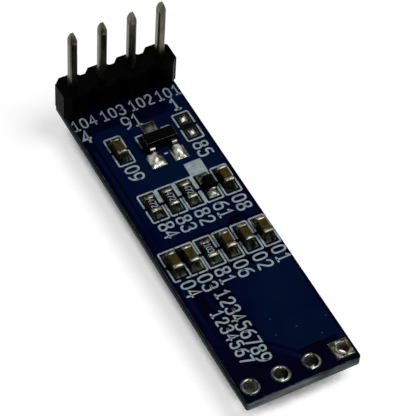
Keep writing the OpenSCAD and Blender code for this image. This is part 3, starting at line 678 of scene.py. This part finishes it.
verts, faces = [], []
for left, right, missing, broken in LOW_PLACES:
    brackets(verts, faces, left, right, *LOW_ROW, missing, broken)
for left, right, broken in MIDDLE_PLACES:
    brackets(verts, faces, left, right, *MIDDLE_ROW, broken=broken)
for left, right, low, high in TOP_PLACES:
    brackets(verts, faces, left, right, low, high)
for x, low, high, width in BANDS:
    strip(verts, faces, ((x, low), (x, high)), width * MM, BAND_RISE)
for points in TRANSISTOR_MARKS:
    strip(verts, faces, points)
strip(verts, faces, DASH, DASH_WIDTH)
lines = add_piece("printed_lines", verts, faces, INK)
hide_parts("printed_outlines")
block = plates("printed_block", [[spot(x, y) for x, y in BLOCK]], INK, BLOCK_RISE)


# ---- Printed numbers ----

DOWN, RIGHT = Vector((0, -1, 0)), Vector((1, 0, 0))
STROKE, BOLD = 0.165, 0.22


def labels(verts, faces, rows, along, height, pitch, stroke):
    """Writes rows of (digits, x, y), sizes in mm; x, y is the first digit's left foot as read."""
    for digits, x, y in rows:
        write(verts, faces, digits, spot(x, y), along, height * MM, pitch * MM, stroke * MM, RISE)


PART_NUMBERS = (
    ("09", -3.0, 22.05), ("85", 2.98, 22.0),
    ("84", -3.15, 15.95), ("83", -1.65, 15.95), ("82", -0.05, 15.95), ("61", 1.55, 15.95),
    ("08", 3.15, 15.95),
    ("04", -4.2, 10.3), ("03", -2.8, 10.3), ("81", -1.3, 10.3), ("06", 0.25, 10.3),
    ("02", 1.9, 10.3), ("01", 3.5, 10.3),
)
CONTACT_NUMBERS = (("104", -4.7, 27.15), ("103", -2.2, 27.15), ("102", 0.3, 27.15),
                   ("101", 2.68, 27.15))
verts, faces = [], []
labels(verts, faces, PART_NUMBERS, DOWN, 1.15, 0.82, STROKE)
labels(verts, faces, [("123456789", -2.27, 8.45)], DOWN, 1.1, 0.8, STROKE)
labels(verts, faces, [("1234567", -3.42, 6.95)], DOWN, 0.95, 0.76, STROKE)
labels(verts, faces, [("91", -0.95, 25.6)], RIGHT, 1.2, 0.8, 0.15)
labels(verts, faces, [("4", -4.5, 25.7), ("1", 3.35, 25.75)], RIGHT, 1.2, 0.8, BOLD)
labels(verts, faces, CONTACT_NUMBERS, RIGHT, 1.0, 0.74, 0.145)
numbers = add_piece("printed_numbers", verts, faces, INK)


# ---- Resistor tops: overcoat and marks ----

RESISTOR_MARKS = (("r1", "103"), ("r2", "472"), ("r3", "472"), ("r4", "472"))
OVERCOAT_HALF_X, OVERCOAT_HALF_Y = 0.35 * MM, 0.5 * MM
OVERCOAT_RISE, OVERCOAT_SINK = 0.02 * MM, 0.002 * MM
MARK_X, MARK_Y = -0.24 * MM, 0.42 * MM
MARK_HEIGHT, MARK_PITCH, MARK_STROKE, MARK_RISE = 0.48 * MM, 0.3 * MM, 0.07 * MM, 0.008 * MM
over_verts, over_faces, mark_verts, mark_faces = [], [], [], []
for name, digits in RESISTOR_MARKS:
    mid = middle(BODY[name])
    z = top_of(BODY[name]) - OVERCOAT_SINK
    low = [Vector((mid.x + sx * OVERCOAT_HALF_X, mid.y + sy * OVERCOAT_HALF_Y, z))
           for sx, sy in SQUARE]
    prism(over_verts, over_faces, low, [p + Vector((0, 0, OVERCOAT_RISE)) for p in low])
    start = Vector((mid.x + MARK_X, mid.y + MARK_Y, z + OVERCOAT_RISE))
    write(mark_verts, mark_faces, digits, start, DOWN, MARK_HEIGHT, MARK_PITCH, MARK_STROKE,
          MARK_RISE)
add_piece("resistor_overcoats", over_verts, over_faces, OVERCOAT)
add_piece("resistor_marks", mark_verts, mark_faces, INK)


# ---- Solder on the lands ----

def wobble(x, y, scale, seed=0.0):
    return noise.noise(Vector((x * scale / MM, y * scale / MM, seed)))


def facing(x, y, turn=1, z=Z_LAND, offset=0.0):
    """Puts (across, outward, height) at x, y; outward is along `turn` (1 or -1) on Y."""
    def place(across, outward, height):
        return Vector((x + across, y + turn * (offset + outward), z + height))
    return place


def fillet(reach, height, seed):
    """Solder that climbs a chip's end: outward from v = -1, at the chip, to v = 1."""
    def shape(u, v):
        t = (v + 1) / 2
        side = 1 - abs(u) ** 5
        climb = height * (1 - t) ** 1.9 * (1 - 0.45 * u * u)
        skin = 0.07 * MM * (1 - t ** 5) * side
        bulge = wobble(u * 0.45 * MM, t * reach, 4.5, seed)
        lump = 0.05 * MM * bulge * side * (1 - t ** 4)
        return 0.0, max(0.0, climb * (side ** 0.5) + skin + lump)
    return shape


def mound(height, seed, jag=0.05):
    """Solder over a foot: highest near the body, with a ragged outer end."""
    def shape(u, v):
        t = (v + 1) / 2
        side = (1 - u * u) ** 0.45 if abs(u) < 1 else 0.0
        fall = math.cos(min(1.0, t) * math.pi / 2) ** 0.8
        lump = 0.16 * wobble(u * 0.55 * MM, t * 1.2 * MM, 3.0, seed)
        ragged = -jag * MM * abs(math.sin(u * 9.0 + seed)) * t ** 6
        return ragged, height * max(0.0, side * fall * (1 + lump))
    return shape


def pool(u, v):
    """Low flat pool of solder left on an empty land."""
    r = min(1.0, (abs(u) ** 3 + abs(v) ** 3) ** (1 / 3))
    return 0.0, MM * 0.045 * (1 - r ** 6)


def bead(u, v):
    """Small bright peak on such a pool."""
    r = min(1.0, math.hypot(u, v))
    return 0.0, MM * (0.05 + (0.08 + 0.08 * v) * (1 - r ** 3))


def drop(u, v):
    """Small drop of solder on a ring."""
    r = min(1.0, math.hypot(u, v))
    return 0.0, MM * (0.035 + 0.055 * (1 - r * r))


def crown(seed):
    """Pillow-shaped top of an end cap; v = 1 is the chip's end."""
    def shape(u, v):
        lift = 0.055 * (1 - v * v) * (1 - u ** 4) - 0.03 * ((v + 1) / 2) ** 2 - 0.02 * u ** 4
        return 0.0, MM * lift * (1 + 0.25 * wobble(u * MM, v * MM, 1.5, seed)) - 0.012 * MM
    return shape


CROWN_SIZE, CROWN_INSET = (0.74 * MM, 0.29 * MM), 0.165 * MM
verts, faces = [], []
for seed, name in enumerate(CHIPS):
    low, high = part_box("end_caps_" + name)
    mid = (low + high) / 2
    core_top = top_of(BODY[name])
    for turn in (-1, 1):
        place = facing(mid.x, mid.y, turn, high.z, high.y - mid.y - CROWN_INSET)
        patch(verts, faces, place, CROWN_SIZE, crown(seed * 3.1 + turn), (20, 12),
              core_top - 0.02 * MM)
add_piece("cap_crowns", verts, faces, CAP_METAL, smooth=True)

FINE = (28, 28)
LAND_WIDTH = 0.88 * MM
LAND_END = 1.2 * MM  # from the chip's middle to where its solder ends
FILLET_SINK = 0.02 * MM
CAPACITOR_CLIMB, RESISTOR_CLIMB = 0.6, 0.75  # solder's height as a share of the end cap's
verts, faces = [], []
for seed, name in enumerate(CHIPS):
    mid = middle(BODY[name])
    low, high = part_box("end_caps_" + name)
    climb = (high.z - low.z) * (CAPACITOR_CLIMB if name[0] == "c" else RESISTOR_CLIMB)
    end = high.y - mid.y - FILLET_SINK
    reach = LAND_END - end
    for turn in (-1, 1):
        place = facing(mid.x, mid.y + turn * (end + reach / 2), turn)
        patch(verts, faces, place, (LAND_WIDTH, reach), fillet(reach, climb, seed + 0.37 * turn))
for y in EMPTY_LANDS_Y:
    land = spot(EMPTY_X, y)
    patch(verts, faces, facing(land.x, land.y), (LAND_WIDTH, LAND_WIDTH), pool, FINE)
fillets = add_piece("chip_fillets", verts, faces, SOLDER_DEEP_SHADE, smooth=True)

TRANSISTOR = middle("transistor_body")
FOOT_Y, FOOT_REACH = 1.6, 1.28 * MM
# Solder on its feet: x and y from its middle, side, width, height and seed
FAR_FOOT = (0, FOOT_Y, 1, 1.16, 0.3, 4.6)
NEAR_FEET = ((-1.03, -FOOT_Y, -1, 1.2, 0.36, 0), (0.92, -FOOT_Y, -1, 0.88, 0.36, 2.3))


def transistor_mound(verts, faces, dx, dy, turn, wide, height, seed):
    place = facing(TRANSISTOR.x + dx * MM, TRANSISTOR.y + dy * MM, turn)
    patch(verts, faces, place, (wide * MM, FOOT_REACH), mound(height * MM, seed), FINE)


DIODE = middle("diode_body")
DIODE_JAG = 0.02
# Solder on its feet: x, y from its middle, side, width, reach, height and seed
# Its near foot, in the dimmer copy of the solder: painted shade
DIODE_SHADED_FOOT = (DIODE_X, -0.9, -1, 0.8, 0.56, 0.24, 9)
DIODE_FEET = ((DIODE_X, 0.9, 1, 0.86, 0.58, 0.3, 10), (2.1, -0.76, -1, 0.5, 0.34, 0.4, 4))


def diode_mound(verts, faces, x, dy, turn, wide, reach, height, seed):
    place = facing(x * MM, DIODE.y + dy * MM, turn)
    patch(verts, faces, place, (wide * MM, reach * MM), mound(height * MM, seed, DIODE_JAG))


verts, faces = [], []
transistor_mound(verts, faces, *FAR_FOOT)
diode_mound(verts, faces, *DIODE_SHADED_FOOT)
add_piece("land_solder", verts, faces, SOLDER_HALF_SHADE, smooth=True)

BEAD_X, BEAD_SIZE = 3.52, 0.5 * MM
verts, faces = [], []
for foot in NEAR_FEET:
    transistor_mound(verts, faces, *foot)
for y in EMPTY_LANDS_Y:
    land = spot(BEAD_X, y)
    patch(verts, faces, facing(land.x, land.y), (BEAD_SIZE, BEAD_SIZE), bead)
for foot in DIODE_FEET:
    diode_mound(verts, faces, *foot)
solder = add_piece("solder_mounds", verts, faces, SOLDER, smooth=True)
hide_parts("chip_solder")


# ---- Tin and solder on the open holes' pads ----

# Profiles of the tin in mm: out from the bore's wall and up from the land
ROLL = ((-0.015, -0.22), (-0.01, -0.1), (0.005, -0.015), (0.04, 0.03), (0.09, 0.05),
        (0.14, 0.045), (0.175, 0.02))
FLAT = ((-0.012, -0.2), (-0.006, -0.08), (0.004, -0.01), (0.04, 0.012), (0.09, 0.02),
        (0.14, 0.018), (0.175, 0.008))
PROFILE_WIDTH = 0.195
BORE = 0.5
RING, HALF_SQUARE = 0.695 * MM, 0.74 * MM
RING_SIDES = 72


def ring_skin(verts, faces, centre, outer, seed, profile, ragged):
    """A domed skin that rolls into the bore and ends at `outer(angle)`."""
    start = len(verts)
    foot = Vector((centre.x, centre.y, Z_LAND - 0.01 * MM))
    hidden = Vector((centre.x, centre.y, Z_LAND - 0.22 * MM))
    for k in range(RING_SIDES):
        a = 2 * math.pi * k / RING_SIDES
        way = Vector((math.cos(a), math.sin(a), 0))
        far = outer(a) * (1 + ragged * wobble(way.x * MM, way.y * MM, 4, seed)) / MM
        widen = (far - BORE) / PROFILE_WIDTH
        for out, up in profile:
            r = (BORE + (out * widen if out > 0 else out)) * MM
            h = up * MM * (1 + 0.25 * wobble(way.x * r, way.y * r, 2.5, seed + 5))
            verts.append(Vector((centre.x, centre.y, Z_LAND)) + way * r + Vector((0, 0, h)))
        verts.append(foot + way * far * MM)
        verts.append(hidden + way * 0.52 * MM)
    size = len(profile) + 2
    for k in range(RING_SIDES):
        a, b = start + k * size, start + (k + 1) % RING_SIDES * size
        for i in range(size):
            j = (i + 1) % size
            faces.append((a + i, b + i, b + j, a + j))


verts, faces = [], []
for n in ROUND_HOLES:
    ring_skin(verts, faces, HOLES[n], lambda a: RING, n, ROLL, 0.03)
skin = add_piece("ring_tinning", verts, faces, TIN, smooth=True)

verts, faces = [], []
ring_skin(verts, faces, HOLES[1],
          lambda a: HALF_SQUARE / max(abs(math.cos(a)), abs(math.sin(a))), 1, FLAT, 0.09)
add_piece("square_pad_tinning", verts, faces, OLD_TIN, smooth=True)

DROPS = ((-0.2, -0.54, 0.3), (0.2, 0.5, 0.22))  # x and y from the hole's middle, and size
verts, faces = [], []
for n in ROUND_HOLES:
    for dx, dy, size in DROPS:
        place = facing(HOLES[n].x + dx * MM, HOLES[n].y + dy * MM)
        patch(verts, faces, place, (size * MM, size * MM), drop, (12, 12))
add_piece("ring_drops", verts, faces, SOLDER, smooth=True)

# Solder that clings to the wall of hole 1: radius and height in mm, swept along an arc
WEDGE = ((0.505, 0.03), (0.36, 0.02), (0.2, -0.16), (0.16, -0.34), (0.3, -0.55), (0.505, -0.7))
WEDGE_WALL = 0.505
ARC_FROM, ARC_SWEEP, ARC_STEPS = 105, 190, 24
verts, faces = [], []
for k in range(ARC_STEPS + 1):
    t = k / ARC_STEPS
    a = math.radians(ARC_FROM + ARC_SWEEP * t)
    full = math.sin(math.pi * t) ** 0.45
    for r, h in WEDGE:
        r = WEDGE_WALL - (WEDGE_WALL - r) * full
        h = h * (0.3 + 0.7 * full) + 0.03 * wobble(math.cos(a) * MM, math.sin(a) * MM, 3, r * 9)
        verts.append(Vector((HOLES[1].x, HOLES[1].y, Z_LAND))
                     + Vector((math.cos(a) * r, math.sin(a) * r, h)) * MM)
join_rings(faces, 0, len(WEDGE), ARC_STEPS + 1)
add_piece("hole_1_drop", verts, faces, LEAD_METAL, smooth=True)


# ---- Stage, light and camera ----

def path_seen(tree):
    """1 for rays that see the background: camera, mirror and through glass."""
    rays = tree.nodes.new("ShaderNodeLightPath").outputs
    seen = reckon(tree, "MAXIMUM", rays["Is Camera Ray"], rays["Is Glossy Ray"])
    return reckon(tree, "MAXIMUM", seen, rays["Is Transmission Ray"])


def seen_or_not(tree, unseen, seen, out):
    """Ends a tree with one shader for rays that see the background and one for all other light."""
    mix = tree.nodes.new("ShaderNodeMixShader")
    link(tree, path_seen(tree), mix.inputs[0])
    link(tree, unseen.outputs[0], mix.inputs[1])
    link(tree, seen.outputs[0], mix.inputs[2])
    link(tree, mix.outputs[0], out.inputs["Surface"])


FLOOR_HALF, FLOOR_DROP = 0.6, 0.02 * MM
SHADOW_REACH = 4 * MM
SHADOW_STOPS = (0.28, 0.5)  # openness at which the contact shadow is full, and is gone
FLOOR_WHITE, FLOOR_GLOW, FLOOR_BOUNCE = 0.37, 0.68, 0.15


def make_floor():
    material = bpy.data.materials.new("floor")
    material.use_nodes = True
    tree = material.node_tree
    tree.nodes.clear()
    out = tree.nodes.new("ShaderNodeOutputMaterial")
    lit = tree.nodes.new("ShaderNodeBsdfDiffuse")
    near = tree.nodes.new("ShaderNodeAmbientOcclusion")
    near.inputs["Distance"].default_value = SHADOW_REACH
    near.samples = 8
    dark, gone = SHADOW_STOPS
    openness = near.outputs["AO"]
    glow = ramp(tree, openness, [(dark, (0.01,) * 3), (gone, (1.0,) * 3)])
    white = ramp(tree, openness, [(dark, (0.005,) * 3), (gone, (FLOOR_WHITE,) * 3)])
    link(tree, white, lit.inputs["Color"])
    bounce = tree.nodes.new("ShaderNodeBsdfDiffuse")
    bounce.inputs["Color"].default_value = (FLOOR_BOUNCE, FLOOR_BOUNCE, FLOOR_BOUNCE, 1)
    lift = tree.nodes.new("ShaderNodeEmission")
    link(tree, glow, lift.inputs["Color"])
    lift.inputs["Strength"].default_value = FLOOR_GLOW
    both = tree.nodes.new("ShaderNodeAddShader")
    link(tree, lit.outputs[0], both.inputs[0])
    link(tree, lift.outputs[0], both.inputs[1])
    seen_or_not(tree, bounce, both, out)
    mesh = bpy.data.meshes.new("floor")
    mesh.from_pydata([(sx * FLOOR_HALF, sy * FLOOR_HALF, -FLOOR_DROP) for sx, sy in SQUARE], [],
                     [(0, 1, 2, 3)])
    mesh.materials.append(material)
    floor = bpy.data.objects.new("floor", mesh)
    bpy.context.scene.collection.objects.link(floor)


FILL_LEVEL = 0.16


def make_world():
    world = bpy.data.worlds.new("studio")
    bpy.context.scene.world = world
    world.use_nodes = True
    tree = world.node_tree
    tree.nodes.clear()
    out = tree.nodes.new("ShaderNodeOutputWorld")
    fill = tree.nodes.new("ShaderNodeBackground")
    fill.inputs["Color"].default_value = (1, 1, 1, 1)
    fill.inputs["Strength"].default_value = FILL_LEVEL
    white = tree.nodes.new("ShaderNodeBackground")
    white.inputs["Color"].default_value = (1, 1, 1, 1)
    white.inputs["Strength"].default_value = 1.0
    seen_or_not(tree, fill, white, out)


def lamp(name, direction, distance, size, level):
    """Soft square lamp; `level` is the brightness it gives a white surface that faces it."""
    data = bpy.data.lights.new(name, "AREA")
    data.shape = "SQUARE"
    data.size = size
    data.energy = level * math.pi ** 2 * distance ** 2
    obj = bpy.data.objects.new(name, data)
    way = Vector(direction).normalized()
    obj.location = Vector((0, 0, 0.003)) + way * distance
    obj.rotation_euler = way.to_track_quat("Z", "Y").to_euler()
    bpy.context.scene.collection.objects.link(obj)


# Where the module was seen from: the lens, the axes right, up and back, and the place in mm
LENS = 191.790
VIEW_RIGHT = (0.88305, -0.46715, 0.04476)
VIEW_UP = (0.34165, 0.70533, 0.62112)
VIEW_BACK = (-0.32172, -0.53318, 0.78244)
VIEW_PLACE = (-53.506, -89.413, 135.338)


def make_camera():
    data = bpy.data.cameras.new("camera")
    data.sensor_width = 36
    data.lens = LENS
    data.clip_start = 0.01
    data.clip_end = 10
    camera = bpy.data.objects.new("camera", data)
    turn = Matrix((VIEW_RIGHT, VIEW_UP, VIEW_BACK)).transposed().to_4x4()
    camera.matrix_world = Matrix.Translation(Vector(VIEW_PLACE) * MM) @ turn
    bpy.context.scene.collection.objects.link(camera)
    bpy.context.scene.camera = camera


make_floor()
make_world()
lamp("key", direction=(0.4, -0.22, 0.89), distance=0.9, size=0.46, level=0.96)
make_camera()
bpy.context.scene.view_settings.view_transform = "Standard"
